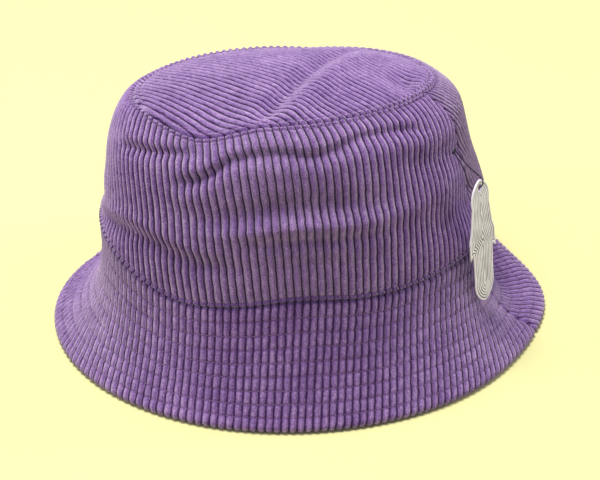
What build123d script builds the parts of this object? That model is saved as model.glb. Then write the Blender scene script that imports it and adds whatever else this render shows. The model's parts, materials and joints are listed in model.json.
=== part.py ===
from build123d import *
import math
import os

# A soft corduroy bucket hat with a metal charm, in millimetres, standing on the edge of its brim.
# Origin: centre of the rim, on the surface it stands on. +Z is up, the front of the hat faces -Y
# and the wearer's left is +X. Azimuths are degrees from the front towards the wearer's left.

# Outer surface: each ring is (height, half width in X, half length in Y).
BRIM_HEIGHT = 50.0
RIM = (0.0, 116.0, 124.0)
BRIM_MIDDLE = (22.0, 94.8, 108.8)   # the brim flares a little towards its rim
BASE = (BRIM_HEIGHT, 84.5, 103.0)
CROWN = [
    BASE,
    (75.0, 83.0, 98.5),
    (100.0, 78.0, 93.0),
    (118.0, 72.0, 87.0),
    (127.0, 66.0, 80.0),
    (132.0, 58.0, 72.0),
]
TIP = [(130.4, 60.4, 74.4), (132.0, 58.0, 72.0), (134.8, 42.0, 53.0), (136.0, 16.0, 21.0)]
BASE_CENTRE = (-2.0, -0.5)   # the crown sits a little to one side on the brim
TOP_CENTRE = (-3.0, -3.0)   # and leans a little forward as it rises

# Cloth. Layers are kept a little apart, and so are panels that meet at a seam.
CORDUROY = 1.6
STIFFENER = 0.6
LINING = 0.5
BAND = 1.2
LABEL = 0.4
GAP = 0.2
KERF = 0.3

# Two panels each in brim, under-brim, crown and lining, with their seams on one line.
SEAM_AZIMUTH = 132.0
RIM_ALLOWANCE = 6.0         # the stiffener stops this far above the turned edge

# Rows of stitching, each a thin raised band.
STITCH_WIDTH = 0.7
STITCH_HEIGHT = 0.35
STITCH_GAP = 0.05
BRIM_ROWS = 8
FIRST_ROW = 3.5
ROW_STEP = 5.6
SEAM_TO_STITCH = 2.0

# Sweatband and labels, inside.
BAND_TOP = 82.0
WOVEN_LABEL = (180.0, 60.0, 74.0, 30.0)     # azimuth, bottom, top, width
CARE_LABEL = (-90.0, 84.0, 112.0, 16.0)

# Charm, hung by a doubled thread on the wearer's left, towards the back.
CHARM_AZIMUTH = 120.0
ANCHOR_HEIGHT = 100.0
HOLE_HEIGHT = 84.5
HOLE_STANDS_OFF = 10.2     # from the crown
CHARM_TILT = 6.2            # the foot leans out over the brim
CHARM_FACING = 108.0        # azimuth; the plate hangs turned a little forward
PLATE = 1.0
HOLE_RADIUS = 1.6
HOLE_TO_TOP = 4.0
HEAD_SIDE = (5.0, 0.6)     # outline of the right half: (across, up from the hole)
SHOULDER = (7.0, -9.0)
BARB_ROOT = (8.7, -20.0)
BARB_SIDE = (10.4, -24.5)
BARB_TIP = (10.7, -34.5)
BARB_NOTCH = (8.1, -32.0)
FLANK = (7.6, -47.0)
FOOT_SIDE = (5.3, -56.0)
FOOT = -59.5
THREAD_DIAMETER = 0.6
THREAD_OVER_TOP = 1.0       # the loop is loose, so the plate's head can turn inside it
THREAD_AT_HOLE = (0.9, 2.0)     # up from the hole and out from the plate, on the front
THREAD_BEHIND = (-1.6, -0.6, -5.0)  # across, up and out, where the loop turns up again
ANCHOR_SPREAD = 1.2         # half the distance between the thread's two ends
THREAD_CLEARS = 1.0         # from the crown to the middle of the thread's ends
KNOT_RADIUS = 1.0

FAR = 400.0                 # longer than the hat, for trimming blocks


def crown_centre(height):
    """Centre of the crown's ring at this height."""
    share = (height - BRIM_HEIGHT) / (CROWN[-1][0] - BRIM_HEIGHT)
    share = min(max(share, 0.0), 1.0)
    return [b + (t - b) * share for b, t in zip(BASE_CENTRE, TOP_CENTRE)]


def brim_centre(height):
    """Centre of the brim's ring at this height."""
    return [c * height / BRIM_HEIGHT for c in BASE_CENTRE]


def slab(low, high):
    """Everything between two heights."""
    return Pos(0, 0, (low + high) / 2) * Box(FAR, FAR, high - low)


def half(shape, side):
    """One side of the seam line: +1 is the wearer's left and front, -1 the right and back."""
    block = Pos(side * (FAR + KERF) / 2, 0, 0) * Box(FAR, FAR, FAR)
    return shape & (Rot(0, 0, SEAM_AZIMUTH - 180) * block)


def patch(shape, azimuth, low, high, width):
    """The part of a shape around one azimuth, between two heights."""
    block = Pos(0, -FAR / 2, (low + high) / 2) * Box(width, FAR, high - low)
    return shape & (Rot(0, 0, azimuth) * block)


def inward(rings, depth):
    """The same rings moved into the hat by this depth, square to its surface."""
    moved = []
    for i, (height, half_x, half_y) in enumerate(rings):
        below = rings[max(i - 1, 0)]
        above = rings[min(i + 1, len(rings) - 1)]
        rise = above[0] - below[0]
        run = above[1] - below[1]
        inset = depth * rise / math.hypot(rise, run)
        drop = depth * run / math.hypot(rise, run)
        moved.append((height + drop, half_x - inset, half_y - inset))
    return moved


def solid_of(rings, centre, ruled):
    """A closed solid through elliptical rings."""
    outlines = []
    for height, half_x, half_y in rings:
        x, y = centre(height)
        outlines.append(Pos(x, y, height) * Ellipse(half_x, half_y))
    return loft(outlines, ruled=ruled)


def shell(rings, centre, outer, inner, ruled=False):
    """Cloth between two depths under the surface through the rings."""
    def at_depth(depth):
        moved = inward(rings, depth)
        start = tuple(a - 0.3 * (b - a) for a, b in zip(moved[0], moved[1]))
        end = tuple(b + 0.3 * (b - a) for a, b in zip(moved[-2], moved[-1]))
        return solid_of([start] + moved + [end], centre, ruled)

    return at_depth(outer) - at_depth(inner)


def crown_shell(outer, inner):
    return shell(CROWN, crown_centre, outer, inner)


def brim_shell(outer, inner):
    return shell([RIM, BRIM_MIDDLE, BASE], brim_centre, outer, inner, ruled=True)


def tip_shell(outer, inner):
    """A layer of the top: a shallow dome whose edge sits on the crown's side."""
    def dome(depth):
        rings = [(z - depth, x - depth, y - depth) for z, x, y in TIP]
        foot = (rings[0][0] - CORDUROY,) + rings[0][1:]
        return solid_of([foot] + rings, crown_centre, ruled=True)

    return (dome(outer) - dome(inner)) & slab(TIP[0][0] - outer, FAR)


BRIM_UNDER = CORDUROY + STIFFENER + 2 * GAP     # depth of the under-brim's hidden face
BRIM_DEPTH = BRIM_UNDER + CORDUROY
LINING_DEPTH = CORDUROY + GAP
BAND_DEPTH = LINING_DEPTH + LINING + GAP


def brim_layers():
    top = brim_shell(0, CORDUROY) & slab(0, BRIM_HEIGHT)
    under = brim_shell(BRIM_UNDER, BRIM_DEPTH) & slab(0, BRIM_HEIGHT)
    stiffener = brim_shell(CORDUROY + GAP, CORDUROY + GAP + STIFFENER)
    return {
        "brim_top_left": half(top, 1),
        "brim_top_right": half(top, -1),
        "brim_under_left": half(under, 1),
        "brim_under_right": half(under, -1),
        "brim_stiffener": stiffener & slab(RIM_ALLOWANCE, BRIM_HEIGHT),
    }


def crown_layers():
    foot = BRIM_HEIGHT + KERF
    top = TIP[0][0] - KERF
    side = crown_shell(0, CORDUROY) & slab(foot, top)
    lining = crown_shell(LINING_DEPTH, LINING_DEPTH + LINING) & slab(foot, top - LINING_DEPTH)
    band = crown_shell(BAND_DEPTH, BAND_DEPTH + BAND)
    return {
        "crown_tip": tip_shell(0, CORDUROY),
        "crown_side_left": half(side, 1),
        "crown_side_right": half(side, -1),
        "lining_tip": tip_shell(LINING_DEPTH, LINING_DEPTH + LINING),
        "lining_side_left": half(lining, 1),
        "lining_side_right": half(lining, -1),
        "sweatband": band & slab(foot, BAND_TOP),
    }


def labels():
    """Two blank labels: one on the sweatband, one above it on the lining."""
    on_band = BAND_DEPTH + BAND + STITCH_GAP
    on_lining = LINING_DEPTH + LINING + STITCH_GAP
    return {
        "woven_label": patch(crown_shell(on_band, on_band + LABEL), *WOVEN_LABEL),
        "care_label": patch(crown_shell(on_lining, on_lining + LABEL), *CARE_LABEL),
    }


def rows(cloth, heights):
    """Rows of stitching cut from a thin shell."""
    return Compound([s for h in heights for s in (cloth & slab(h, h + STITCH_WIDTH)).solids()])


def stitching():
    proud, sunk = -STITCH_GAP - STITCH_HEIGHT, -STITCH_GAP
    above = brim_shell(proud, sunk)
    below = brim_shell(BRIM_DEPTH - sunk, BRIM_DEPTH - proud)
    on_crown = crown_shell(proud, sunk)
    inside = crown_shell(BAND_DEPTH + BAND - sunk, BAND_DEPTH + BAND - proud)
    brim_heights = [FIRST_ROW + ROW_STEP * i for i in range(BRIM_ROWS)]
    seams = [BRIM_HEIGHT + SEAM_TO_STITCH, CROWN[-1][0] - 2 * SEAM_TO_STITCH]
    height, half_x, half_y = [a - SEAM_TO_STITCH for a in TIP[1]]
    x, y = crown_centre(height)
    outline = Ellipse(half_x, half_y) - Ellipse(half_x - STITCH_WIDTH, half_y - STITCH_WIDTH)
    tip_row = Pos(x, y, TIP[1][0] + 2 * STITCH_HEIGHT) * extrude(outline, STITCH_HEIGHT)
    return {
        "brim_stitching": Compound(
            rows(above, brim_heights).solids() + rows(below, brim_heights).solids()
        ),
        "base_stitching": rows(on_crown, seams[:1]),
        "tip_stitching": Compound(rows(on_crown, seams[1:]).solids() + tip_row.solids()),
        "band_stitching": rows(inside, seams[:1]),
    }


def outward(azimuth):
    """Unit vector pointing out from the Z axis at this azimuth."""
    angle = math.radians(azimuth)
    return Vector(math.sin(angle), -math.cos(angle), 0)


def reach(height):
    """Distance from the Z axis to the crown's surface at the charm's azimuth."""
    for low, high in zip(CROWN, CROWN[1:]):
        if height <= high[0]:
            break
    share = (height - low[0]) / (high[0] - low[0])
    half_x, half_y = [a + (b - a) * share for a, b in zip(low[1:], high[1:])]
    x, y = crown_centre(height)
    way = outward(CHARM_AZIMUTH)
    a = (way.X / half_x) ** 2 + (way.Y / half_y) ** 2
    b = way.X * x / half_x**2 + way.Y * y / half_y**2
    c = (x / half_x) ** 2 + (y / half_y) ** 2 - 1
    return (b + math.sqrt(b * b - a * c)) / a


def at_charm(out, across, height):
    """A point given by its distance from the Z axis, its place across and its height."""
    across_way = outward(CHARM_AZIMUTH + 90)
    return outward(CHARM_AZIMUTH) * out + across_way * across + Vector(0, 0, height)


HOLE_OUT = reach(HOLE_HEIGHT) + HOLE_STANDS_OFF
ANCHOR_OUT = reach(ANCHOR_HEIGHT)


def charm_plane():
    """The plate's plane, with its origin in the hole, X across and Y up the plate."""
    tilt = math.radians(CHARM_TILT)
    normal = outward(CHARM_FACING) * math.cos(tilt) + Vector(0, 0, math.sin(tilt))
    hole = at_charm(HOLE_OUT, 0, HOLE_HEIGHT)
    return Plane(origin=hole, x_dir=outward(CHARM_FACING + 90), z_dir=normal)


def on_charm(across, up, out):
    """A point given in the plate's own directions."""
    return charm_plane().from_local_coords(Vector(across, up, out))


def charm_plate():
    """A thin plate with a round head, a barb on each side and a narrow round foot."""
    edge = [
        ThreePointArc((0, HOLE_TO_TOP), HEAD_SIDE, SHOULDER),
        Line(SHOULDER, BARB_ROOT),
        Line(BARB_ROOT, BARB_SIDE),
        Line(BARB_SIDE, BARB_TIP),
        Line(BARB_TIP, BARB_NOTCH),
        Line(BARB_NOTCH, FLANK),
        ThreePointArc(FLANK, FOOT_SIDE, (0, FOOT)),
    ]
    right = make_face(Wire(edge + [Line((0, FOOT), (0, HOLE_TO_TOP))]))
    outline = right + mirror(right, Plane.YZ) - Circle(HOLE_RADIUS)
    flat = extrude(outline, PLATE / 2, both=True)
    return charm_plane().location * flat


def thread_route():
    """From one end on the crown, through the charm's hole and back to the other end."""
    def end(sign):
        anchor = at_charm(ANCHOR_OUT + THREAD_CLEARS, sign * ANCHOR_SPREAD, ANCHOR_HEIGHT)
        slack = at_charm(ANCHOR_OUT + 6.2, sign * 1.0, ANCHOR_HEIGHT - 6.2)
        return [anchor, slack]

    up, out = THREAD_AT_HOLE
    over = on_charm(0.55, HOLE_TO_TOP + THREAD_OVER_TOP, 1.6)
    through = [on_charm(0.25, up, out), on_charm(-0.25, -up, -out)]
    behind = on_charm(*THREAD_BEHIND)
    return end(1) + [over] + through + [behind] + end(-1)[::-1]


def charm_thread():
    """A round thread: straight runs joined by arcs as large as the runs allow."""
    route = thread_route()
    runs = [b - a for a, b in zip(route, route[1:])]
    radii = []
    for before, after in zip(runs, runs[1:]):
        turn = math.radians(before.get_angle(after))
        radii.append(0.45 * min(before.length, after.length) / math.tan(turn / 2))
    path = FilletPolyline(*route, radius=radii)
    section = Plane(origin=route[0], z_dir=runs[0]) * Circle(THREAD_DIAMETER / 2)
    tube = sweep(section, path=path)
    print("thread radii", [round(r, 1) for r in radii])
    print("thread length", round(path.length, 1), "volume share",
          round(tube.volume / (path.length * math.pi * THREAD_DIAMETER**2 / 4), 3))
    return tube


def thread_anchor():
    """The two knots that hold the thread's ends on the crown."""
    knots = []
    for sign in (1, -1):
        place = at_charm(ANCHOR_OUT + 0.3, sign * ANCHOR_SPREAD * 1.2, ANCHOR_HEIGHT + 2.1)
        knots.append(Pos(place) * Sphere(KNOT_RADIUS))
    cloth = solid_of(inward(CROWN, -STITCH_GAP), crown_centre, ruled=False)
    return Compound([s for k in knots for s in (k - cloth).solids()])


nodes = {}
nodes.update(brim_layers())
nodes.update(crown_layers())
nodes.update(labels())
nodes.update(stitching())
nodes["thread_anchor"] = thread_anchor()
nodes["charm_thread"] = charm_thread()
nodes["charm_plate"] = charm_plate()

os.makedirs("parts", exist_ok=True)
for name, shape in nodes.items():
    export_step(shape, f"parts/{name}.step")
print("anchor", at_charm(ANCHOR_OUT, 0, ANCHOR_HEIGHT), "hole", at_charm(HOLE_OUT, 0, HOLE_HEIGHT))
print("foot", on_charm(0, FOOT, 0))
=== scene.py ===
import json
import math

import bpy
import numpy as np
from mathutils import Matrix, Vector
from mathutils.geometry import delaunay_2d_cdt


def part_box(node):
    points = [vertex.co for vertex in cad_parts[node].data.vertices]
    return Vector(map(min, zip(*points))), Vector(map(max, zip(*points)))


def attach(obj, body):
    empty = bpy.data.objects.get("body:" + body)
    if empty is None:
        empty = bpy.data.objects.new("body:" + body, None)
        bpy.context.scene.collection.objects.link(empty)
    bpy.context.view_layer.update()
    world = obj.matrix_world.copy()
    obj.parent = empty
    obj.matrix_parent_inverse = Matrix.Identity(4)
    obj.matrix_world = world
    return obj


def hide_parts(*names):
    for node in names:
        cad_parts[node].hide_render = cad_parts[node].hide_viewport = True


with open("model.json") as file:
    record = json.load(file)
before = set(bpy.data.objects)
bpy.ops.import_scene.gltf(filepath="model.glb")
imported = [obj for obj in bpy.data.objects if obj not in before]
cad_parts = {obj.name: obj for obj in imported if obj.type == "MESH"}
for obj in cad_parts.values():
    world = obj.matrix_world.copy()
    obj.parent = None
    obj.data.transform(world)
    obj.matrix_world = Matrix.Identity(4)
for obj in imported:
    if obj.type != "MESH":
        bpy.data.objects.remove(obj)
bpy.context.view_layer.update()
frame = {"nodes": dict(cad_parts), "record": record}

MM = 0.001

# ---- Sizes, in millimetres. The rim, the seams and the charm's place come from the frame. ----


def box_mm(node):
    """A node's lowest and highest corners, in millimetres."""
    low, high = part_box(node)
    return np.array(low) / MM, np.array(high) / MM


def joint_line(name):
    """A joint's place, in millimetres, and its axis."""
    joints = {joint["name"]: joint for joint in frame["record"]["behaviour"]["joints"]}
    return np.array(joints[name]["pos_m"]) / MM, np.array(joints[name]["axis"], float)


def oval(nodes, proud=0.0):
    """Centre and half sizes of the oval that these nodes fill."""
    boxes = [box_mm(n) for n in nodes]
    low = np.min([b[0] for b in boxes], axis=0)
    high = np.max([b[1] for b in boxes], axis=0)
    return (low + high)[:2] / 2, (high - low)[:2] / 2 - proud


STITCH_PROUD = 0.4
RIM_CENTRE, RIM_HALF = oval(["brim_top_left", "brim_top_right"])
BASE_CENTRE, BASE_HALF = oval(["base_stitching"], STITCH_PROUD)
BASE_CENTRE = BASE_CENTRE + (3.0, 3.5)  # the cloth's seam lies a little off the frame's
BASE_HALF = BASE_HALF + (2.0, 1.5)
BASE_HEIGHT = box_mm("crown_side_left")[0][2]
TOP_CENTRE, TOP_HALF = oval(["crown_tip"])
SEAM_SIZE = np.array([0.96, 1.03])  # the top's seam against the CAD top's edge
SEAM_LEAN = np.array([-1.3, -1.9])

SEAM_AZIMUTH = 132.0
PANEL_AZIMUTH = {"left": SEAM_AZIMUTH - 90, "right": SEAM_AZIMUTH + 90}

WALE = 3.60  # from one rib to the next
RIB = 1.00  # height of a rib over its groove
BRIM_RIB = 0.75  # and on the stitched brim
CLOTH = 1.5
GRID = 0.47  # spacing of the cloth's fine mesh, across the ribs
COARSE = 22  # rows of the hidden face

BRIM_ROWS = 8
RIM_MARGIN = 4.5
RIM_HEIGHT = 3.2  # of the brim's face where it rolls under
LOWEST_FACE = 5.6  # of its upper face inside the rim
TIP_RIB_TURN = 11.0  # azimuth of the top's ribs from the wearer's left
FIRST_ROW_GAP = 7.0

ENGRAVING = 1.30  # on the charm, from one engraved line to the next
ENGRAVED = 0.16  # depth of a line
PLATE_GRID = 0.34  # spacing of the plate's fine mesh
PLAIN_BORDER = 0.7  # left without lines along the plate's edges

CAMERA_AZIMUTH = 55.0
CAMERA_ELEVATION = 30.8
CAMERA_DISTANCE = 1000.0
SENSOR_WIDTH = 36.0
FRAME_WIDTH_AT_HAT = 295.0
AIM = (0.0, 0.0, 33.0)
VIEW = math.radians(CAMERA_AZIMUTH)

# ---- Small helpers ----


def unit(vectors):
    """The same vectors, along the last axis, with a length of 1."""
    return vectors / np.linalg.norm(vectors, axis=-1, keepdims=True)


def add_object(name, data):
    """A new object in the scene."""
    made = bpy.data.objects.new(name, data)
    bpy.context.scene.collection.objects.link(made)
    return made


def smoothstep(x, low, high):
    t = np.clip((x - low) / (high - low), 0.0, 1.0)
    return t * t * (3 - 2 * t)


def hump(x, centre, width):
    return np.exp(-(((x - centre) / width) ** 2))


def turned(azimuth, centre):
    """Difference of two azimuths, from -180 to 180."""
    return (np.asarray(azimuth) - centre + 180.0) % 360.0 - 180.0


def from_camera(azimuth):
    return turned(azimuth, CAMERA_AZIMUTH)


def spline(x, xs, ys):
    """A smooth curve through a few points, as a monotone cubic."""
    xs, ys = np.asarray(xs, float), np.asarray(ys, float)
    step = np.diff(xs)
    slope = np.diff(ys) / step
    tangent = np.empty_like(ys)
    tangent[1:-1] = np.where(
        slope[1:] * slope[:-1] > 0,
        2 * slope[1:] * slope[:-1] / (slope[1:] + slope[:-1] + 1e-12),
        0.0,
    )
    tangent[0], tangent[-1] = slope[0], slope[-1]
    i = np.clip(np.searchsorted(xs, x) - 1, 0, len(xs) - 2)
    t = (x - xs[i]) / step[i]
    h00, h10 = 2 * t**3 - 3 * t**2 + 1, t**3 - 2 * t**2 + t
    h01, h11 = -2 * t**3 + 3 * t**2, t**3 - t**2
    return h00 * ys[i] + h10 * step[i] * tangent[i] + h01 * ys[i + 1] + h11 * step[i] * tangent[i + 1]


def ripple(seed, *coords):
    """Smooth noise from -1 to 1: a few waves in random directions."""
    rng = np.random.default_rng(seed)
    total = 0.0
    for octave in range(3):
        for _ in range(3):
            way = rng.normal(size=len(coords))
            way *= (1.7**octave) / np.linalg.norm(way)
            phase = rng.uniform(0, 2 * math.pi)
            total = total + np.sin(sum(w * c for w, c in zip(way, coords)) + phase) / 1.7**octave
    return total / 6.0


def facing_out(normal, points):
    """Normals turned to the side that faces out of the hat."""
    out = points * (1, 1, 0) + (0, 0, 60)
    return normal * np.where((normal * out).sum(axis=-1, keepdims=True) < 0, -1, 1)


def grid_normals(points):
    """Unit normals of a grid of points, on the side that faces out of the hat."""
    normal = np.cross(np.gradient(points, axis=1), np.gradient(points, axis=0))
    normal /= np.linalg.norm(normal, axis=2, keepdims=True) + 1e-12
    return facing_out(normal, points)


# ---- The hat's surface, without its ribs ----


def on_oval(angle, half, centre):
    """X and Y at an angle, in radians from the front towards the wearer's left."""
    return centre[0] + half[0] * np.sin(angle), centre[1] - half[1] * np.cos(angle)


def even_angles():
    """Angles at even steps along the base seam, and the distance along it to each."""
    fine = np.linspace(0, 2 * math.pi, 7201)
    x, y = on_oval(fine, BASE_HALF, BASE_CENTRE)
    length = np.concatenate([[0], np.cumsum(np.hypot(np.diff(x), np.diff(y)))])
    return fine, length


FINE_ANGLE, FINE_LENGTH = even_angles()
BASE_LENGTH = FINE_LENGTH[-1]


def angle_at(length):
    """The oval's angle at a distance along the base seam from the front."""
    turns = np.floor(length / BASE_LENGTH)
    return np.interp(length - turns * BASE_LENGTH, FINE_LENGTH, FINE_ANGLE) + 2 * math.pi * turns


def length_at_azimuth(azimuth):
    """Distance along the base seam to an azimuth, in degrees."""
    x, y = on_oval(FINE_ANGLE, BASE_HALF, (0, 0))
    found = np.unwrap(np.arctan2(x, -y))
    return float(np.interp(math.radians(azimuth % 360), found, FINE_LENGTH))


# The crown's side: share of the way up its slope, share of its height, and share of its base.
CROWN_SLOPE = [0.0, 0.26, 0.52, 0.74, 0.88, 1.0]
CROWN_HEIGHTS = [0.0, 0.30, 0.60, 0.82, 0.93, 1.0]
CROWN_WIDTHS = [1.0, 0.955, 0.895, 0.825, 0.760, 0.675]

# Height of the top's seam round the crown, by azimuth from the camera's side: the soft crown
# stands at the front and sags behind.
TOP_SEAM = [(-180, 105), (-120, 115), (-90, 121), (-58, 126), (-40, 124), (-27, 122), (0, 129),
            (30, 126.8), (60, 122), (95, 114.5), (125, 107.5), (180, 105)]
DOME = 9.0


def base_lift(azimuth):
    """How far the brim's seam stands above its even height."""
    lift = 4.6 * hump(azimuth, 3, 15) + 10.0 * hump(azimuth, -72, 26) - 1.5 * hump(azimuth, -30, 10)
    return lift - 4.4 * hump(azimuth, 85, 28)


def stretched(angle, half, centre, out):
    """A point of an oval moved outwards by a distance."""
    x, y = on_oval(angle, half, centre)
    return x + out * np.sin(angle), y - out * np.cos(angle)


def base_seam(angle):
    azimuth = from_camera(np.degrees(angle))
    x, y = stretched(angle, BASE_HALF, BASE_CENTRE, -8.0 * hump(azimuth, 100, 38))
    return np.stack([x, y, BASE_HEIGHT + base_lift(azimuth)], axis=-1)


def seam_height(azimuth):
    return spline(azimuth, *zip(*TOP_SEAM))


def top_seam(angle):
    x, y = on_oval(angle, TOP_HALF * SEAM_SIZE, TOP_CENTRE + SEAM_LEAN)
    return np.stack([x, y, seam_height(from_camera(np.degrees(angle)))], axis=-1)


# Where the crown's side stands in: how deep, then the middle and width in azimuth and in share.
HOLLOWS = [(1.0, (-85, 40), (0.36, 0.14)), (2.4, (-88, 34), (0.16, 0.10)),
           (4.0, (92, 40), (0.40, 0.35)), (2.2, (92, 40), (0.90, 0.10))]


def crown_surface(angle, share):
    """The crown's side, share 0 at the brim and 1 at the top's seam."""
    low, high = base_seam(angle), top_seam(angle)
    rise = spline(share, CROWN_SLOPE, CROWN_HEIGHTS)[..., None]
    width = spline(share, CROWN_SLOPE, CROWN_WIDTHS)
    inward = ((1 - width) / (1 - CROWN_WIDTHS[-1]))[..., None]
    flat = low[..., :2] + (high[..., :2] - low[..., :2]) * inward
    height = low[..., 2:] + (high[..., 2:] - low[..., 2:]) * rise
    azimuth = from_camera(np.degrees(angle))
    out = -sum(depth * hump(azimuth, *across) * hump(share, *up) for depth, across, up in HOLLOWS)
    flat = flat + outwards(angle, 0.0)[..., :2] * out[..., None]
    # behind, the cloth rolls up over its seam
    height = height + (1.2 * hump(np.abs(azimuth), 160, 55) * hump(share, 0.92, 0.07))[..., None]
    return np.concatenate([flat, height], axis=-1)


def tip_surface(angle, reach):
    """The top, reach 0 in its middle and 1 at its seam: a tilted disc, domed a little."""
    around = np.arange(-180.0, 180.0)
    heights = seam_height(around)
    level = heights.mean()
    lean = [2 * (heights * wave(np.radians(around))).mean() for wave in (np.cos, np.sin)]
    azimuth = np.radians(from_camera(np.degrees(angle)))
    edge = top_seam(angle)
    tilt = lean[0] * np.cos(azimuth) + lean[1] * np.sin(azimuth)
    middle = TOP_CENTRE + SEAM_LEAN
    flat = middle + (edge[..., :2] - middle) * reach[..., None]
    uneven = edge[..., 2] - level - tilt
    height = level + tilt * reach + uneven * reach**3 + DOME * (1 - reach**2)
    return np.concatenate([flat, height[..., None]], axis=-1)


def crease(azimuth, share, line, width):
    """1 along a line of (azimuth, share) points, falling off to 0 beside it and past its ends."""
    places, shares = zip(*line)
    middle = spline(azimuth, places, shares)
    ends = smoothstep(azimuth, places[0] - 8, places[0] + 6) * (
        1 - smoothstep(azimuth, places[-1] - 6, places[-1] + 8))
    return ends * hump(share, middle, width)


FRONT_CREASE = [(-30, 0.68), (-20, 0.75), (-13, 0.815), (2, 0.81), (12, 0.78), (18, 0.80), (30, 0.85),
                (42, 0.84), (52, 0.80)]
LEFT_CREASE = [(-58, 0.70), (-47, 0.76), (-36, 0.83), (-28, 0.88)]
LOW_FOLD = [(-82, 0.08), (-70, 0.14), (-58, 0.23), (-48, 0.29), (-36, 0.31), (-24, 0.29), (-16, 0.28)]


def crown_folds(angle, share):
    """How far the crown's cloth stands out of its smooth surface: creases, rolls and dents."""
    a = from_camera(np.degrees(angle))
    # a crease under the top's seam, with a puffed roll above it
    out = -2.4 * crease(a, share, FRONT_CREASE, 0.042)
    out = out + 1.5 * crease(a, share - 0.085, FRONT_CREASE, 0.06)
    out = out + 0.6 * crease(a, share + 0.09, FRONT_CREASE, 0.06)
    out = out - 2.1 * crease(a, share, LEFT_CREASE, 0.042)
    out = out + 0.9 * crease(a, share - 0.08, LEFT_CREASE, 0.05)
    # a broad hollow across the middle, with a swell under it
    out = out - 2.6 * hump(a, 2, 30) * hump(share, 0.50, 0.070)
    out = out + 1.8 * hump(a, 6, 28) * hump(share, 0.40, 0.040)
    # and shallow waves below that
    out = out - hump(a, 10, 24) * (hump(share, 0.325, 0.030) + 0.8 * hump(share, 0.20, 0.04))
    # a fold hanging low on the left, with a flat under it
    out = out + 1.1 * crease(a, share - 0.03, LOW_FOLD, 0.04) - 2.0 * crease(a, share + 0.05, LOW_FOLD, 0.05)
    # a hollow beside the charm
    out = out - 2.6 * hump(a, 72, 16) * hump(share, 0.30, 0.16)
    # slow waves on the right
    right = smoothstep(a, 28, 50) * (1 - smoothstep(a, 66, 88))
    place = share + 0.002 * a
    out = out - 2.2 * right * (hump(place, 0.70, 0.09) + 0.9 * hump(place, 0.36, 0.10))
    # a sagging back
    out = out - 2.0 * hump(np.abs(a), 150, 40) * np.sin(share * 9 + 0.03 * a)
    return out + 0.8 * ripple(7, 3 * np.sin(angle), 3 * np.cos(angle), 5 * share)


def outwards(angle, rise):
    """Unit vectors that point out of the hat, with some rise."""
    way = np.stack([np.sin(angle), -np.cos(angle), np.full_like(angle, rise)], axis=-1)
    return way / math.hypot(1, rise)


def crown_cloth(angle, share):
    settled = np.sin(math.pi * np.clip(share, 0, 1)) ** 0.4
    out = crown_folds(angle, share) * settled
    return crown_surface(angle, share) + outwards(angle, 0.25) * out[..., None]


def turned_axes(x, y, turn):
    """Places along and across a direction that is turned from X."""
    return x * math.cos(turn) + y * math.sin(turn), y * math.cos(turn) - x * math.sin(turn)


def tip_folds(x, y):
    """Height of the top's folds: a long slanting valley, a dent by its seam and slow swells."""
    side, depth = turned_axes(x, y, VIEW)
    off = (side + 16) * 0.93 - (depth + 55) * 0.36
    valley = smoothstep(depth, -70, -48) * (1 - smoothstep(depth, 25, 50))
    up = -2.6 * valley * hump(off, 0, 5.5) + 2.0 * valley * hump(off, 11, 7)
    up = up - 3.2 * hump(side, 48, 8) * hump(depth, -3, 16) + 1.5 * hump(side, 60, 7) * hump(depth, -2, 16)
    up = up - 1.2 * hump(side, -45, 16) * hump(depth, -28, 12)
    return up + 1.3 * ripple(13, side / 24, depth / 24)


def tip_cloth(angle, reach):
    point = tip_surface(angle, reach)
    up = tip_folds(point[..., 0], point[..., 1]) * smoothstep(1 - reach, 0.0, 0.16)
    point[..., 2] += up
    return point


def brim_surface(angle, share):
    """The brim's upper face, share 0 at the crown and 1 at the rim."""
    low = base_seam(angle)
    azimuth = from_camera(np.degrees(angle))
    out = 2.4 * hump(azimuth, -70, 36) + 3.0 * hump(azimuth, 46, 28) + 5.0 * hump(azimuth, 88, 17)
    out = out - 6.5 * hump(azimuth, -116, 18) - 7.5 * hump(azimuth, 112, 26)
    x, y = stretched(angle, RIM_HALF - 3.4, RIM_CENTRE, out)
    rim = np.stack([x, y, np.full_like(x, RIM_HEIGHT)], axis=-1)
    point = low + (rim - low) * share[..., None]
    sag = 2.5 + 11.0 * hump(azimuth, -92, 36) + 19.0 * hump(azimuth, 98, 34)
    sag = sag * np.sin(math.pi * share**0.8)
    way = np.stack([np.sin(angle), -np.cos(angle), np.full_like(angle, 1.4)], axis=-1)
    point = point - way * (sag / 1.7)[..., None]
    # it never sinks so low that its underside would go through the floor
    floor = np.minimum(LOWEST_FACE, RIM_HEIGHT + 28 * (1 - share))
    point[..., 2] = floor + np.logaddexp(0, 1.5 * (point[..., 2] - floor)) / 1.5
    return point


def brim_cloth(angle, share):
    waves = 0.8 * ripple(11, 4 * np.sin(angle), 4 * np.cos(angle), 2.5 * share)
    waves = waves * np.sin(math.pi * np.clip(share, 0, 1)) ** 0.5
    return brim_surface(angle, share) + outwards(angle, 0.6) * waves[..., None]


# ---- Corduroy ----


def rib(across):
    """Height of the ribs, from 0 in the groove to 1 on top, by the place across them."""
    phase = 2 * math.pi * across / WALE
    return 0.52 - 0.50 * np.cos(phase) - 0.04 * np.cos(2 * phase)


def lay_flat(length, slope, centre, radius, opens):
    """Where a point of a panel lay on the flat cloth, with the ribs along the second number.

    The panel is a sector of a ring: radius is its seam's radius when flat, and opens is +1
    where it widens away from that seam.
    """
    turn = (length - centre) / radius
    reach = radius + opens * slope
    return reach * np.sin(turn), reach * np.cos(turn) - radius


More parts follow.
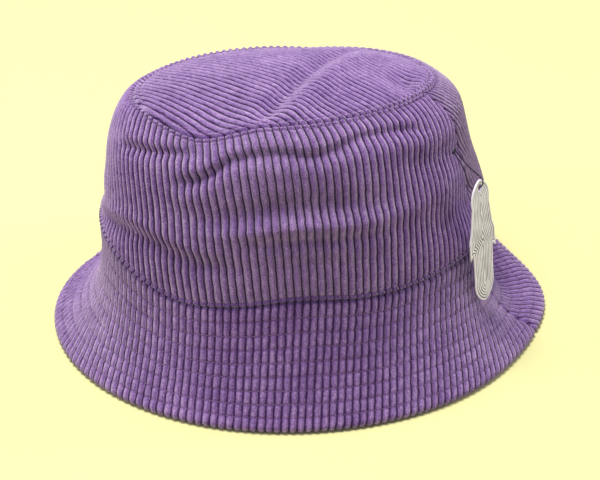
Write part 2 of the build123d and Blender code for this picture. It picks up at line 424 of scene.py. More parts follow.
def make_piece(name, node, points, faces, body, slot, cloth=None):
    """A piece in place of the frame's node, from points in millimetres.

    Cloth gives each point's place on the flat cloth, in metres, for its material.
    """
    mesh = bpy.data.meshes.new(name)
    mesh.from_pydata((np.asarray(points) * MM).tolist(), [], faces)
    if cloth is not None:
        layer = mesh.attributes.new("cloth", "FLOAT_VECTOR", "POINT")
        layer.data.foreach_set("vector", np.asarray(cloth, np.float32).ravel())
    mesh.polygons.foreach_set("use_smooth", [True] * len(mesh.polygons))
    mesh.update()
    piece = add_object(name, mesh)
    mesh.materials.append(LOOKS[slot])
    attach(piece, body)
    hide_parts(node)
    return piece


def grid_faces(rows, columns, start=0, flip=False):
    """Quads over a grid of points stored row by row."""
    i, j = np.meshgrid(np.arange(rows - 1), np.arange(columns - 1), indexing="ij")
    corner = i * columns + j
    quads = np.stack([corner, corner + 1, corner + columns + 1, corner + columns], -1)
    quads = quads.reshape(-1, 4) + start
    if flip:
        quads = quads[:, ::-1]
    return quads.tolist()


def closed_panel(front, back, cloth, flip=False):
    """Points, faces and cloth places of a panel with a fine front and a coarse back."""
    rows, columns = front.shape[:2]
    points = np.concatenate([front.reshape(-1, 3), back.reshape(-1, 3)])
    first = rows * columns
    depth = back.shape[0]
    faces = grid_faces(rows, columns)
    faces += grid_faces(depth, columns, first, flip=True)
    j = np.arange(columns - 1)
    top = np.stack([j + 1, j, first + j, first + j + 1], -1)
    end_front, end_back = (rows - 1) * columns, first + (depth - 1) * columns
    bottom = np.stack([end_front + j, end_front + j + 1, end_back + j + 1, end_back + j], -1)
    faces += top.tolist() + bottom.tolist()
    pick = np.linspace(0, rows - 1, depth).astype(int)
    for column, other_end in ((0, False), (columns - 1, True)):
        for row in range(depth - 1):
            up = (np.arange(pick[row], pick[row + 1] + 1) * columns + column).tolist()
            down = [first + (row + 1) * columns + column, first + row * columns + column]
            faces.append((up + down)[::-1] if other_end else up + down)
    if flip:
        faces = [face[::-1] for face in faces]
    places = np.concatenate([cloth.reshape(-1, 3), np.zeros((depth * columns, 3))])
    return points, faces, places


# ---- Materials ----


class Nodes:
    """A short way to write a material's nodes."""

    def __init__(self, name):
        self.material = bpy.data.materials.new(name)
        self.material.use_nodes = True
        self.tree = self.material.node_tree
        self.shader = self.tree.nodes["Principled BSDF"]

    def connect(self, node, inputs):
        """Sets a node's inputs to values, or links them to other nodes' outputs."""
        for key, value in inputs.items():
            if isinstance(value, bpy.types.NodeSocket):
                self.tree.links.new(value, node.inputs[key])
            else:
                node.inputs[key].default_value = value
        return node

    def add(self, kind, inputs=None, **values):
        node = self.tree.nodes.new(kind)
        for key, value in values.items():
            setattr(node, key, value)
        return self.connect(node, inputs or {})

    def math(self, operation, a, b=0.0):
        return self.add("ShaderNodeMath", {0: a, 1: b}, operation=operation).outputs[0]

    def plus(self, a, b):
        return self.math("ADD", a, b)

    def minus(self, a, b):
        return self.math("SUBTRACT", a, b)

    def times(self, a, b):
        return self.math("MULTIPLY", a, b)

    def weighed(self, first, *others):
        """The sum of pairs of a factor and its weight."""
        total = self.times(*first)
        for pair in others:
            total = self.plus(total, self.times(*pair))
        return total

    def step(self, value, low, high):
        """0 up to low and 1 from high, with a smooth way between."""
        inputs = {"Value": value, "From Min": low, "From Max": high}
        return self.add("ShaderNodeMapRange", inputs, interpolation_type="SMOOTHSTEP").outputs[0]

    def noise(self, vector, scale, detail, rough=0.5):
        inputs = {"Vector": vector, "Scale": scale, "Detail": detail, "Roughness": rough}
        return self.add("ShaderNodeTexNoise", inputs).outputs["Fac"]

    def ramp(self, factor, stops):
        """A colour between two or more stops, each a place and a colour."""
        node = self.add("ShaderNodeValToRGB", {"Fac": factor})
        ramp = node.color_ramp
        while len(ramp.elements) < len(stops):
            ramp.elements.new(0.5)
        for element, (place, colour) in zip(ramp.elements, stops):
            element.position = place
            element.color = (*colour, 1)
        return node.outputs["Color"]

    def mix(self, factor, a, b):
        """A mix of a colour socket and a plain colour."""
        return self.add("ShaderNodeMix", {0: factor, 6: a, 7: (*b, 1)}, data_type="RGBA").outputs[2]

    def place(self):
        return self.add("ShaderNodeTexCoord").outputs["Object"]

    def cloth(self):
        """Place on the flat cloth, in metres: across the ribs, along them, and a third number, which on the
        corduroy sets where its painted shade falls.
        """
        node = self.add("ShaderNodeAttribute", attribute_name="cloth")
        return self.add("ShaderNodeSeparateXYZ", {0: node.outputs["Vector"]}).outputs

    def bump(self, height, strength, distance):
        inputs = {"Height": height, "Strength": strength, "Distance": distance}
        return self.add("ShaderNodeBump", inputs).outputs["Normal"]

    def finish(self, colour, normal, roughness, others):
        """The material, with these inputs of its shader as values or sockets."""
        self.connect(self.shader, {"Base Color": colour, "Roughness": roughness, **others})
        if normal is not None:
            self.connect(self.shader, {"Normal": normal})
        return self.material


def corduroy():
    """Velvety wide-wale corduroy: broad ribs with a painted highlight on their tops, narrow grooves darkened
    with painted shade, and a speckled pile.
    """
    n = Nodes("corduroy")
    # the third cloth number is 1 on open cloth and falls where painted shade goes, along the base seam and
    # in the brim's stitched dents
    across, _, unshaded = n.cloth()
    where = n.place()
    wander = n.times(n.minus(n.noise(where, 260.0, 2), 0.5), 0.0011)
    phase = n.math("FRACT", n.math("DIVIDE", n.plus(across, wander), WALE * MM))
    side = n.math("ABSOLUTE", n.minus(phase, 0.5))
    # groove marks the grooves: painted shade in the colour, a sunken bump and less sheen there
    groove = n.step(side, 0.30, 0.47)
    # crown marks the rib tops, which get a small painted highlight in the colour
    crown = n.step(side, 0.30, 0.0)
    pile = n.noise(where, 1500.0, 3, 0.7)
    fleck = n.noise(where, 3600.0, 1)
    cloud = n.noise(where, 60.0, 3, 0.55)
    nap = n.noise(where, 320.0, 3, 0.6)
    shade = n.weighed((pile, 0.75), (cloud, 0.30), (nap, 0.35), (fleck, 0.80), (crown, 0.10))
    # painted shade: the colour darkens where the third cloth number falls, along the base seam and in the
    # stitched dents
    shade = n.minus(shade, n.minus(0.885, n.times(unshaded, 0.24)))
    top = n.ramp(shade, [(0.22, (0.064, 0.023, 0.130)), (0.50, (0.172, 0.080, 0.298)),
                         (0.80, (0.445, 0.315, 0.555))])
    # painted shade: the grooves take this dark purple in place of the ribs' colour
    colour = n.mix(groove, top, (0.046, 0.016, 0.082))
    height = n.minus(n.weighed((pile, 0.6), (fleck, 0.4)), n.times(groove, 0.9))
    sheen = n.times(n.minus(1.0, groove), 0.62)
    return n.finish(colour, n.bump(height, 1.0, 0.0007), 0.95, {
        "Specular IOR Level": 0.10, "Sheen Weight": sheen, "Sheen Roughness": 0.50,
        "Sheen Tint": (0.97, 0.92, 0.95, 1)})


def woven(name, colour, pale, pitch, slant, roughness=0.85):
    """Plain or twill weave: two crossing sets of fine threads."""
    n = Nodes(name)
    across, along, _ = n.cloth()
    turns = 2 * math.pi / (pitch * MM)
    warp = n.math("SINE", n.times(n.plus(along, n.times(across, slant)), turns))
    weft = n.math("SINE", n.times(across, turns))
    weave = n.times(warp, n.plus(n.times(weft, 0.4), 0.6))
    blot = n.noise(n.place(), 120.0, 3, 0.6)
    top = n.ramp(n.plus(n.times(weave, 0.22), blot), [(0.25, colour), (0.80, pale)])
    normal = n.bump(weave, 0.4, 0.00012)
    return n.finish(top, normal, roughness, {"Specular IOR Level": 0.25, "Sheen Weight": 0.2})


def thread_look(name, colour, pale):
    """Twisted sewing thread."""
    n = Nodes(name)
    fleck = n.noise(n.place(), 2400.0, 2, 0.6)
    top = n.ramp(fleck, [(0.3, colour), (0.75, pale)])
    return n.finish(top, n.bump(fleck, 0.5, 0.0001), 0.7, {"Specular IOR Level": 0.3})


def silver():
    """Polished plate with fine scratches, darkened in its engraved lines."""
    n = Nodes("charm_metal")
    from_edge, from_hole, front = n.cloth()
    turn = n.math("COSINE", n.times(from_edge, 2 * math.pi / ENGRAVING))
    line = n.times(n.times(n.plus(turn, 1.0), 0.5), front)
    within = n.math("GREATER_THAN", n.math("MINIMUM", from_edge, from_hole), PLAIN_BORDER)
    dark = n.step(n.times(line, within), 0.45, 0.80)
    drawn = n.add("ShaderNodeMapping", {"Vector": n.place(), "Scale": (300.0, 300.0, 2600.0)})
    scratch = n.noise(drawn.outputs[0], 1.0, 2)
    stain = n.noise(n.place(), 90.0, 3, 0.6)
    pale = n.ramp(stain, [(0.25, (0.72, 0.70, 0.84)), (0.75, (0.88, 0.86, 1.0))])
    worn = n.add("ShaderNodeMapRange", {
        "Value": n.noise(n.place(), 130.0, 2), "From Min": 0.35, "From Max": 0.65, "To Min": 1.0,
        "To Max": 0.45}).outputs[0]
    colour = n.mix(n.times(dark, worn), pale, (0.035, 0.035, 0.040))
    rough = n.plus(n.times(scratch, 0.22), n.plus(n.times(dark, 0.3), 0.20))
    return n.finish(colour, n.bump(scratch, 0.12, 0.00005), rough, {"Metallic": 0.1})


LOOKS = {
    "corduroy": corduroy(),
    "lining": woven("lining", (0.095, 0.055, 0.125), (0.165, 0.105, 0.205), 0.55, 0.0),
    "sweatband": woven("sweatband", (0.075, 0.042, 0.098), (0.150, 0.095, 0.185), 0.9, 1.0),
    "label": woven("label", (0.62, 0.60, 0.57), (0.80, 0.78, 0.74), 0.4, 0.0, 0.5),
    "stiffener": woven("stiffener", (0.66, 0.65, 0.61), (0.82, 0.81, 0.78), 1.1, 0.5),
    "stitching": thread_look("stitching", (0.085, 0.040, 0.125), (0.200, 0.110, 0.270)),
    "charm_metal": silver(),
    "hanging_thread": thread_look("hanging_thread", (0.010, 0.008, 0.014), (0.045, 0.036, 0.055)),
}

# ---- Cloth panels ----

CROWN_FLAT_RADIUS = 370.0
BRIM_FLAT_RADIUS = 290.0
CROWN_DEPTH = 92.0  # of the crown's side, along its slope
BRIM_DEPTH = 58.0
TIP_RADIUS = 69.0
TOPSTITCH = 3.0  # from a seam to the row of stitching beside it
RIM_RADIUS = 1.95
CROWN_LEAN = math.radians(4)  # of its ribs, cut a little off the straight
TIP_RINGS = 16  # of the top's hidden face
RIM_WRAP = 5.4  # how far the brim's fine mesh goes on past its depth, rolled under
BRIM_STEP = 0.56  # between its rows
SEWN_AT = np.linspace(FIRST_ROW_GAP, BRIM_DEPTH - RIM_MARGIN, BRIM_ROWS)  # the brim's stitching


def press(distance, width):
    """How much of a rib's height is left at a distance from a seam."""
    return 1 - np.exp(-((distance / width) ** 2))


def wandering(seed, across, along):
    """Ribs aren't ruled lines: they drift a little sideways."""
    return 0.34 * ripple(seed, across / 22, along / 17)


def panel_lengths(side):
    """Distances along the base seam to a panel's two ends, and to its middle."""
    start = length_at_azimuth(PANEL_AZIMUTH[side] - 90)
    end = length_at_azimuth(PANEL_AZIMUTH[side] + 90)
    if start > end:
        start -= BASE_LENGTH
    return start, end, (start + end) / 2


def panel_grid(side, distances, spacing=GRID):
    """Distance along the base seam, and down the slope, of a panel's fine grid."""
    start, end, _ = panel_lengths(side)
    length = np.linspace(start + 0.05, end - 0.05, int((end - start) / spacing))
    return np.meshgrid(length, distances)


def coarse_rows(base):
    """The few rows of a fine grid that its hidden face keeps."""
    return np.linspace(0, len(base) - 1, COARSE).astype(int)


def panel(node, kind, slot, front, back, cloth, lowest=0.0, flip=False):
    """A two-faced panel of the hat, with nothing of it below the lowest height."""
    points, faces, places = closed_panel(front, back, cloth, flip)
    points[:, 2] = np.maximum(points[:, 2], lowest)
    return make_piece(f"{node}_{kind}", node, points, faces, "hat", slot, places)


def crown_side(side):
    start, end, middle = panel_lengths(side)
    near_seam = np.arange(0, 5, 0.4)
    rows = [near_seam, np.linspace(5, CROWN_DEPTH - 5, 90), CROWN_DEPTH - near_seam[::-1]]
    length, distance = panel_grid(side, np.concatenate(rows))
    angle = angle_at(length)
    base = crown_cloth(angle, distance / CROWN_DEPTH)
    normal = grid_normals(base)
    across, along = lay_flat(length, distance, middle, CROWN_FLAT_RADIUS, -1)
    across = across * math.cos(CROWN_LEAN) - along * math.sin(CROWN_LEAN)
    across = across + wandering(3, across, along)
    to_seam = np.minimum(length - start, end - length)
    to_top = CROWN_DEPTH - distance
    row = hump(to_top, TOPSTITCH, 0.6)
    ridge = hump(distance, 1.2, 0.85)
    kept = press(to_top, 0.8) * press(distance - 1.6, 1.1) * press(to_seam, 1.2) * (1 - 0.8 * row)
    kept = np.where(distance < 1.6, 0, kept)
    twist = 0.16 * np.sin(2 * math.pi * (across + 1.3 * distance) / WALE)
    height = RIB * rib(across) * kept + ridge * (0.85 + twist) - 0.45 * hump(distance, 2.7, 0.5)
    tuck = 1.3 * np.exp(-(to_top / 0.7) ** 2) + 0.9 * np.exp(-(distance / 0.40) ** 2)
    tuck = tuck + 0.9 * np.exp(-(to_seam / 0.9) ** 2) + 0.25 * row
    front = base + normal * (height - tuck)[..., None]
    pick = coarse_rows(base)
    ends = np.isin(pick, [0, len(base) - 1])[:, None, None]
    back = base[pick] - normal[pick] * (CLOTH + 0.6 * ends)
    # the third number falls along the base seam's ridge, where the corduroy paints shade into its colour
    cloth = np.stack([across * MM, along * MM, 1 - ridge], -1)
    piece = panel(f"crown_side_{side}", "cloth", "corduroy", front, back, cloth)


def brim_base(side, spacing, wrap):
    """The brim's smooth upper face with its rim rolled under, and its normals."""
    rows = np.arange(0, BRIM_DEPTH + wrap, BRIM_STEP)
    length, distance = panel_grid(side, rows, spacing)
    angle = angle_at(length)
    base = brim_cloth(angle, np.clip(distance / BRIM_DEPTH, 0, 1))
    last = int(np.searchsorted(distance[:, 0], BRIM_DEPTH)) - 1
    normal = grid_normals(base[:last + 1])
    normal = np.concatenate([normal, np.repeat(normal[-1:], len(base) - last - 1, axis=0)])
    down = unit(base[last] - base[last - 2])
    turn = np.clip(distance[last:] - BRIM_DEPTH, 0, None)[..., None] / RIM_RADIUS
    edge, up = base[last].copy(), normal[last].copy()
    base[last:] = edge + (down * np.sin(turn) - up * (1 - np.cos(turn))) * RIM_RADIUS
    normal[last:] = up * np.cos(turn) + down * np.sin(turn)
    return length, distance, base, normal


def brim_ribs(length, distance, side, seed):
    """Height of the brim's ribs over its base, their place on the flat cloth, and a third number that sets
    the painted shade in its stitched dents.
    """
    start, end, middle = panel_lengths(side)
    across, along = lay_flat(length, distance, middle, BRIM_FLAT_RADIUS, 1)
    across = across + wandering(seed, across, along)
    to_seam = np.minimum(length - start, end - length)
    dent = sum(hump(distance, row, 0.75) for row in SEWN_AT)
    dent = dent * (0.70 + 0.30 * ripple(seed + 20, across / 9, along / 3))
    kept = press(distance, 1.4) * press(to_seam, 1.2) * (1 - 0.56 * dent)
    tuck = 1.1 * np.exp(-(distance / 0.7) ** 2) + 0.9 * np.exp(-(to_seam / 0.9) ** 2) + 0.36 * dent
    # the third number falls in the stitched dents, where the corduroy paints shade into its colour
    cloth = np.stack([across * MM, along * MM, 1 - 0.6 * dent], -1)
    return BRIM_RIB * rib(across) * kept - tuck, cloth


def brim_top(side):
    start, end, _ = panel_lengths(side)
    length, distance, base, normal = brim_base(side, GRID, RIM_WRAP)
    height, cloth = brim_ribs(length, distance, side, 5)
    front = base + normal * height[..., None]
    pick = coarse_rows(base)
    curled = distance[pick] > BRIM_DEPTH - 1
    back = base[pick] - normal[pick] * np.where(curled, 0.8, CLOTH)[..., None]
    piece = panel(f"brim_top_{side}", "cloth", "corduroy", front, back, cloth)


def brim_under(side):
    start, end, _ = panel_lengths(side)
    length, distance, base, normal = brim_base(side, 0.6, 0.0)
    keep = distance[:, 0] < BRIM_DEPTH - 1.5
    length, distance, base, normal = length[keep], distance[keep], base[keep], normal[keep]
    height, cloth = brim_ribs(length, distance, side, 6)
    front = base - normal * (UNDER_FACE + height)[..., None]
    pick = coarse_rows(base)
    back = base[pick] - normal[pick] * (UNDER_FACE - CLOTH)
    piece = panel(f"brim_under_{side}", "cloth", "corduroy", front, back, cloth, UNDERSIDE_GAP, True)


def disc_grid(spacing):
    """Angles and reaches of a square grid bent to a disc, and its rim's indices in order."""
    size = int(2 * TIP_RADIUS / spacing)
    u, v = np.meshgrid(np.linspace(-1, 1, size), np.linspace(-1, 1, size))
    du, dv = u * np.sqrt(1 - v * v / 2), v * np.sqrt(1 - u * u / 2)
    last = size * (size - 1)
    rim = np.concatenate([
        np.arange(size), size * np.arange(1, size) + size - 1,
        last + np.arange(size - 2, -1, -1), size * np.arange(size - 2, 0, -1)])
    return size, np.arctan2(du, -dv), np.clip(np.hypot(du, dv), 0, 1), rim


def crown_tip():
    """The top: ribs across it, puckered along its seam."""
    size, angle, reach, rim = disc_grid(0.6)
    base = tip_cloth(angle, reach)
    normal = grid_normals(base)
    along, across = turned_axes(base[..., 0], base[..., 1], math.radians(TIP_RIB_TURN))
    across = across + 1.6 * wandering(9, across, along)
    to_edge = (1 - reach) * TIP_RADIUS
    row = hump(to_edge, TOPSTITCH, 0.6)
    height = RIB * rib(across) * press(to_edge, 0.8) * (1 - 0.8 * row)
    height = height - 1.3 * np.exp(-(to_edge / 0.7) ** 2) - 0.25 * row
    front = base + normal * height[..., None]
    # the hidden face is rings that shrink to one point
    count, first = len(rim), size * size
    k = np.arange(count)
    n = (k + 1) % count
    around = angle.ravel()[rim]
    rings = [tip_cloth(around, np.full(count, shrink)) - (0, 0, CLOTH + 0.4)
             for shrink in np.linspace(1, 0, TIP_RINGS + 1)]
    rings[-1] = rings[-1][:1]
    faces = grid_faces(size, size)
    faces += np.stack([rim[n], rim[k], first + k, first + n], -1).tolist()
    last = first + (TIP_RINGS - 1) * count
    for a in range(first, last, count):
        b = a + count
        faces += np.stack([a + n, a + k, b + k, b + n], -1).tolist()
    faces += np.stack([last + n, last + k, np.full(count, last + count)], -1).tolist()
    points = np.concatenate([front.reshape(-1, 3), *rings])
    cloth = np.stack([across * MM, along * MM, np.ones_like(across)], -1).reshape(-1, 3)
    places = np.concatenate([cloth, np.zeros((len(points) - len(cloth), 3))])
    piece = make_piece("crown_tip_cloth", "crown_tip", points, faces, "hat", "corduroy", places)


# ---- Inside the hat ----

LINING_AT = 2.6  # depth of the lining under the corduroy's face
BAND_AT = 3.5
STIFFENER_AT = 1.8
UNDER_FACE = 4.0  # depth of the under-brim's ribbed face
UNDERSIDE_GAP = 0.3  # left between the hidden layers and the floor
BAND_REACH = 0.34  # share of the crown's slope that the sweatband covers
HEAD_RADIUS = 90.0  # turns an angle into about the length along a sheet


def inner_sheet(node, kind, slot, surface, angles, shares, depth, thickness, spacing=2.2):
    """A thin sheet at a depth under a surface, shown from inside the hat."""
    columns = int((angles[1] - angles[0]) * HEAD_RADIUS / spacing) + 2
    rows = int((shares[1] - shares[0]) * CROWN_DEPTH / spacing) + 2
    angle, share = np.meshgrid(np.linspace(*angles, columns), np.linspace(*shares, rows))
    base = surface(angle, share)
    normal = grid_normals(base)
    outer = base - normal * depth
    inner = outer - normal * thickness
    place = np.stack([angle * HEAD_RADIUS * MM, share * CROWN_DEPTH * MM, np.ones_like(angle)], -1)
    piece = panel(node, kind, slot, inner, outer, place, UNDERSIDE_GAP, True)


def side_angles(side):
    start, end, _ = panel_lengths(side)
    return float(angle_at(start + 0.2)), float(angle_at(end - 0.2))


def share_at(azimuth, height):
    """Share of the crown's slope at a height, at an azimuth."""
    shares = np.linspace(0, 1, 200)
    heights = crown_cloth(np.full(200, math.radians(azimuth)), shares)[:, 2]
    return float(np.interp(height, heights, shares))


def label(node, azimuth, depth, width):
    """A blank label where the frame's label is."""
    low, high = box_mm(node)
    shares = share_at(azimuth, low[2]), share_at(azimuth, high[2])
    middle, step = math.radians(azimuth), 0.01
    near = crown_cloth(middle + np.array([-step, step]), np.full(2, shares[0]))
    radius = np.linalg.norm(near[1] - near[0]) / (2 * step) - depth
    half = width / 2 / radius
    inner_sheet(node, "tape", "label", crown_cloth, (middle - half, middle + half), shares, depth,
                0.4, spacing=1.0)


def lining_tip():
    smaller = 0.98
    size, angle, reach, rim = disc_grid(3.0)
    outer = tip_cloth(angle, reach * smaller) - (0, 0, LINING_AT)
    inner = outer - (0, 0, 0.5)
    points = np.concatenate([outer.reshape(-1, 3), inner.reshape(-1, 3)])
    count = size * size
    n = np.roll(rim, -1)
    faces = grid_faces(size, size) + grid_faces(size, size, count, flip=True)
    faces += np.stack([n, rim, rim + count, n + count], -1).tolist()
    place = np.concatenate([outer.reshape(-1, 3) * MM] * 2)
    piece = make_piece("lining_tip_cloth", "lining_tip", points, faces, "hat", "lining", place)


# ---- Stitching ----


STITCH_PITCH = 3.7
STITCH_HALF = 1.45  # half of a stitch's length
STITCH_SIDES = 5
# Along a stitch: the share of its half, the size of its ring, and how deep the ring sinks.
STITCH_RINGS = [(-1, 0.45, 0.28), (-0.72, 1, 0.03), (0.72, 1, 0.03), (1, 0.45, 0.28)]


def tube_faces(rings, sides, closed=False):
    """Quads round a tube whose points are stored ring by ring."""
    ring, i = np.meshgrid(np.arange(rings if closed else rings - 1), np.arange(sides), indexing="ij")
    here, there, turn = ring * sides, (ring + 1) % rings * sides, (i + 1) % sides
    return np.stack([here + i, here + turn, there + turn, there + i], -1).reshape(-1, 4)


def surface_frame(surface, angle, share):
    """Points of a surface, with the way along it at an even share and the way out of it."""
    step = 1e-3
    point = surface(angle, share)
    along = unit(surface(angle + step, share) - surface(angle - step, share))
    down = surface(angle, share + step) - surface(angle, share - step)
    return point, along, facing_out(unit(np.cross(along, down)), point)


def stitch_row(surface, share, depth, facing=1):
    """Middles, ways and outs of the stitches along one closed row."""
    fine = np.linspace(0, 2 * math.pi, 1441)
    path = surface(fine, np.full_like(fine, share))
    length = np.concatenate([[0], np.cumsum(np.linalg.norm(np.diff(path, axis=0), axis=1))])
    count = int(length[-1] / STITCH_PITCH)
    angle = np.interp((np.arange(count) + 0.5) * length[-1] / count, length, fine)
    point, along, out = surface_frame(surface, angle, np.full_like(angle, share))
    return point - out * depth, along, out * facing


def stitches(seam, rows, radius=0.27):
    """Short round-ended stitches whose ends dip into the cloth."""
    middle, along, out = (np.concatenate(part) for part in zip(*rows))
    count, sides = len(middle), STITCH_SIDES
    wobble = np.random.default_rng(17).uniform(-0.12, 0.12, (count, 1))
    side = np.cross(out, along)
    rings = []
    for place, size, sink in STITCH_RINGS:
        at = middle + along * place * STITCH_HALF - out * sink + side * wobble * place
        for turn in np.arange(sides) * 2 * math.pi / sides:
            rings.append(at + (side * math.cos(turn) + out * math.sin(turn)) * radius * size)
    points = np.stack(rings, axis=1).reshape(-1, 3)
    caps = np.array([range(sides)[::-1], range(3 * sides, 4 * sides)])
    starts = (np.arange(count) * 4 * sides)[:, None, None]
    faces = (tube_faces(4, sides) + starts).reshape(-1, 4).tolist()
    faces += (caps + starts).reshape(-1, sides).tolist()
    make_piece(f"{seam}_stitches", f"{seam}_stitching", points, faces, "hat", "stitching")


def all_stitching():
    faces = (0.02, 1), (UNDER_FACE - 0.1, -1)
    stitches("brim", [stitch_row(brim_cloth, slope / BRIM_DEPTH, depth, facing)
                      for slope in SEWN_AT for depth, facing in faces])
    stitches("base", [stitch_row(crown_cloth, 2.75 / CROWN_DEPTH, 0.2)], radius=0.24)
    stitches("tip", [stitch_row(crown_cloth, 1 - TOPSTITCH / CROWN_DEPTH, 0.0),
                     stitch_row(tip_cloth, 1 - TOPSTITCH / TIP_RADIUS, 0.0)], radius=0.24)
    stitches("band", [stitch_row(crown_cloth, 0.03, BAND_AT + 1.2, facing=-1)])


# ---- Charm and its thread ----

CHARM_AZIMUTH = 120.0
THREAD_DIAMETER = 0.6
# The loop, from one end on the crown through the charm's hole and back, in metres.
THREAD_ROUTE = [
    (0.06769, 0.04047, 0.10000), (0.07229, 0.04289, 0.09380), (0.08014, 0.04664, 0.08964),
    (0.08103, 0.04661, 0.08561), (0.07759, 0.04497, 0.08339), (0.07514, 0.04275, 0.08336),
    (0.07329, 0.04116, 0.09380), (0.06889, 0.03839, 0.10000),
]


def charm_thread():
    """A round thread on one smooth line."""
    curve = bpy.data.curves.new("charm_thread_line", "CURVE")
    curve.dimensions = "3D"
    curve.bevel_depth = THREAD_DIAMETER / 2 * MM
    curve.bevel_resolution = 3
    curve.resolution_u = 16
    curve.use_fill_caps = True
    line = curve.splines.new("NURBS")
    line.points.add(len(THREAD_ROUTE) - 1)
    for point, place in zip(line.points, THREAD_ROUTE):
        point.co = (*place, 1)
    line.order_u = 3
    line.use_endpoint_u = True
    thread = add_object("charm_thread_line", curve)
    curve.materials.append(LOOKS["hanging_thread"])
    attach(thread, "thread")
    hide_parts("charm_thread")


def knot(centre, radius, out):
    """A small overhand knot: a tube wound as a three-lobed loop."""
    turn = np.linspace(0, 2 * math.pi, 64, endpoint=False)
    path = np.stack([np.sin(turn) + 2 * np.sin(2 * turn), np.cos(turn) - 2 * np.cos(2 * turn),
                     -1.4 * np.sin(3 * turn)], -1) * radius / 3
    up = np.array([0.0, 0.0, 1.0])
    side = np.cross(up, out)
    path = centre + path[:, :1] * side + path[:, 1:2] * np.cross(out, side) + path[:, 2:] * out
    way = unit(np.roll(path, -1, axis=0) - np.roll(path, 1, axis=0))
    first = unit(np.cross(way, out + 0.3 * up))
    second = np.cross(way, first)
    sides = 8
    turns = np.arange(sides) * 2 * math.pi / sides
    ring = [path + (first * math.cos(t) + second * math.sin(t)) * THREAD_DIAMETER / 2 for t in turns]
    return np.stack(ring, 1).reshape(-1, 3), tube_faces(len(path), sides, closed=True)


def thread_anchor():
    """The knots that hold the thread's two ends on the crown."""
    azimuth = math.radians(CHARM_AZIMUTH)
    out = np.array([math.sin(azimuth), -math.cos(azimuth), 0.0])
    (points, faces), (others, _) = [knot(np.array(end) / MM - out * 0.5 + (0, 0, 0.5), 0.75, out)
                                    for end in (THREAD_ROUTE[0], THREAD_ROUTE[-1])]
    faces = np.concatenate([faces, faces + len(points)]).tolist()
    make_piece("thread_knots", "thread_anchor", np.concatenate([points, others]), faces, "hat",
               "hanging_thread")


def plate_outlines(plate, centre, across, up, out):
    """The plate's outer outline and its hole's, as loops of points on its own plane."""
    mesh = plate.data
    points = np.array([v.co for v in mesh.vertices]) / MM - centre
    flat = np.stack([points @ across, points @ up, points @ out], -1)
    keys = {}
    index = [keys.setdefault(tuple(np.round(p, 3)), len(keys)) for p in flat]
    places = np.array(list(keys))
    face = flat[:, 2].max()
    count = {}
    for polygon in mesh.polygons:
        corners = [index[v] for v in polygon.vertices]
        if all(abs(places[c][2] - face) < 0.02 for c in corners):
            for a, b in zip(corners, corners[1:] + corners[:1]):
                count[(a, b)] = count.get((a, b), 0) + 1
    after = {a: b for a, b in count if (b, a) not in count}
    loops = []
    while after:
        start = next(iter(after))
        loop, here = [], start
        while here in after:
            loop.append(places[here][:2])
            here = after.pop(here)
        loops.append(np.array(loop))
    loops.sort(key=lambda loop: -np.ptp(loop[:, 1]))
    return loops, flat[:, 2].min(), face


def distance_to(loop, points):
    """Distance of points from a closed loop of straight runs."""
    nearest = np.full(len(points), np.inf)
    for a, b in zip(loop, np.roll(loop, -1, axis=0)):
        run = b - a
        share = np.clip(((points - a) @ run) / (run @ run + 1e-12), 0, 1)
        nearest = np.minimum(nearest, np.linalg.norm(points - a - share[:, None] * run, axis=1))
    return nearest


def inside(loop, points):
    """Whether points are inside a closed loop."""
    found = np.zeros(len(points), bool)
    x, y = points.T
    for (ax, ay), (bx, by) in zip(loop, np.roll(loop, -1, axis=0)):
        crosses = (ay > y) != (by > y)
        with np.errstate(divide="ignore", invalid="ignore"):
            at = ax + (y - ay) * (bx - ax) / (by - ay)
        found ^= crosses & (x < at)
    return found


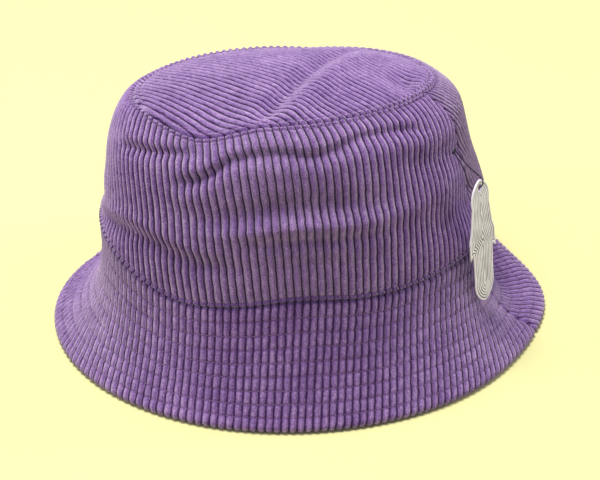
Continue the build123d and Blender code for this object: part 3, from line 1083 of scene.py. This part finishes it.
def charm():
    """The plate, with its edges eased and even lines engraved inside its outline."""
    centre, axis = joint_line("charm_lift")
    across = -axis / np.linalg.norm(axis)
    away = np.array([across[1], -across[0], 0.0])
    plate = frame["nodes"]["charm_plate"]
    points = np.array([v.co for v in plate.data.vertices]) / MM - centre
    up = plate_up(points, across)
    out = np.cross(across, up)
    out *= np.sign(out @ away)
    loops, low, high = plate_outlines(plate, centre, across, up, out)
    outline, hole = loops[0], loops[1]
    steps = [np.arange(line.min(), line.max(), PLATE_GRID) for line in outline.T]
    grid = np.stack(np.meshgrid(*steps), -1).reshape(-1, 2)
    grid = grid[inside(outline, grid) & ~inside(hole, grid)]
    edge = np.minimum(distance_to(outline, grid), distance_to(hole, grid))
    grid = grid[edge > 0.25]
    spots = [Vector(p) for p in np.concatenate([outline, hole, grid])]
    rings, start = [], 0
    for loop in (outline, hole):
        rings += [(start + i, start + (i + 1) % len(loop)) for i in range(len(loop))]
        start += len(loop)
    placed, _, triangles = delaunay_2d_cdt(spots, rings, [], 0, 1e-5)[:3]
    placed = np.array([tuple(p) for p in placed])
    triangles = np.array([t for t in triangles if len(t) == 3])
    middles = placed[triangles].mean(axis=1)
    triangles = triangles[inside(outline, middles) & ~inside(hole, middles)]
    to_outline, to_hole = distance_to(outline, placed), distance_to(hole, placed)
    edge = np.minimum(to_outline, to_hole)
    line = 0.5 + 0.5 * np.cos(2 * math.pi * to_outline / ENGRAVING)
    line = line**2 * smoothstep(edge, PLAIN_BORDER, 1.1)
    eased = 0.22 * np.clip(1 - edge / 0.55, 0, 1) ** 2
    front = high - ENGRAVED * line - eased
    back = low + eased
    count = len(placed)
    flat_points = np.concatenate([np.column_stack([placed, front]), np.column_stack([placed, back])])
    local = flat_points @ np.stack([across, up, out]) + centre
    if np.cross(across, up) @ out < 0:
        triangles = triangles[:, ::-1]
    sides = dict.fromkeys((t[i], t[(i + 1) % 3]) for t in triangles.tolist() for i in range(3))
    faces = triangles.tolist() + (triangles[:, ::-1] + count).tolist()
    faces += [[b, a, a + count, b + count] for a, b in sides if (b, a) not in sides]
    engraved = np.repeat((1.0, 0.0), count)
    place = np.column_stack([np.tile(to_outline, 2), np.tile(to_hole, 2), engraved])
    make_piece("charm_engraved", "charm_plate", local, faces, "charm", "charm_metal", place)


def plate_up(points, across):
    """Up the plate, square to across, found from the plate's own thickness."""
    flat = points - np.outer(points @ across, across)
    _, _, ways = np.linalg.svd(flat - flat.mean(axis=0), full_matrices=False)
    up = ways[0] - across * (ways[0] @ across)
    up /= np.linalg.norm(up)
    return up * np.sign(up[2])


# ---- Camera, light and floor ----


def direction(azimuth, elevation):
    a, e = math.radians(azimuth), math.radians(elevation)
    return Vector((math.sin(a) * math.cos(e), -math.cos(a) * math.cos(e), math.sin(e)))


def look_back(thing, way):
    """Turns a camera or light that stands out along a direction to face the middle."""
    thing.rotation_euler = way.to_track_quat("Z", "Y").to_euler()


def add_camera():
    data = bpy.data.cameras.new("camera")
    camera = add_object("camera", data)
    data.sensor_width = SENSOR_WIDTH
    data.lens = SENSOR_WIDTH * CAMERA_DISTANCE / FRAME_WIDTH_AT_HAT
    way = direction(CAMERA_AZIMUTH, CAMERA_ELEVATION)
    camera.location = (Vector(AIM) + way * CAMERA_DISTANCE) * MM
    look_back(camera, way)
    data.clip_start, data.clip_end = 0.05, 20.0
    bpy.context.scene.camera = camera


WHITE = (1.0, 1.0, 1.0)
# Name, azimuth past the camera's, elevation, distance and width in metres, power and colour.
LIGHTS = [
    ("key", -120, 80, 1.6, 0.8, 42, (1.0, 0.95, 0.86)),
    ("left", -82, 22, 1.8, 0.9, 8, WHITE),
    ("right", 106, 26, 1.8, 0.5, 9, WHITE),
    ("front", -15, 18, 2.0, 1.0, 4, (0.88, 0.85, 1.0)),
]
WORLD_COLOUR, WORLD_STRENGTH = (0.84, 0.80, 1.0, 1), 0.42
FLOOR_COLOUR = (0.56, 0.555, 0.27, 1)
FLOOR_HALF = 4.0  # in metres


def add_lights():
    for name, azimuth, elevation, distance, size, power, colour in LIGHTS:
        data = bpy.data.lights.new(name, "AREA")
        data.shape = "DISK"
        data.size = size
        data.energy = power
        data.color = colour
        light = add_object(name, data)
        way = direction(CAMERA_AZIMUTH + azimuth, elevation)
        light.location = way * distance
        look_back(light, way)


def add_stage():
    world = bpy.data.worlds.new("studio")
    world.use_nodes = True
    background = world.node_tree.nodes["Background"]
    background.inputs[0].default_value = WORLD_COLOUR
    background.inputs[1].default_value = WORLD_STRENGTH
    bpy.context.scene.world = world
    bpy.context.scene.view_settings.view_transform = "Standard"
    add_lights()
    mesh = bpy.data.meshes.new("floor")
    corners = [(x * FLOOR_HALF, y * FLOOR_HALF, 0) for x, y in ((-1, -1), (1, -1), (1, 1), (-1, 1))]
    mesh.from_pydata(corners, [], [(0, 1, 2, 3)])
    mesh.materials.append(Nodes("floor").finish(FLOOR_COLOUR, None, 0.9, {}))
    add_object("floor", mesh)


add_camera()
charm_thread()
thread_anchor()
charm()
for half in ("left", "right"):
    crown_side(half)
    brim_top(half)
    brim_under(half)
    inner_sheet(f"lining_side_{half}", "cloth", "lining", crown_cloth, side_angles(half),
                (0.01, 0.985), LINING_AT, 0.5)
crown_tip()
lining_tip()
inner_sheet("brim_stiffener", "sheet", "stiffener", brim_cloth, (0.0, 2 * math.pi - 0.01),
            (0.03, 0.94), STIFFENER_AT, 0.5)
inner_sheet("sweatband", "tape", "sweatband", crown_cloth, (math.pi, 3 * math.pi - 0.01),
            (0.0, BAND_REACH), BAND_AT, 1.2)
label("woven_label", 180.0, BAND_AT + 1.4, 30.0)
label("care_label", 270.0, LINING_AT + 0.7, 16.0)
all_stitching()
add_stage()
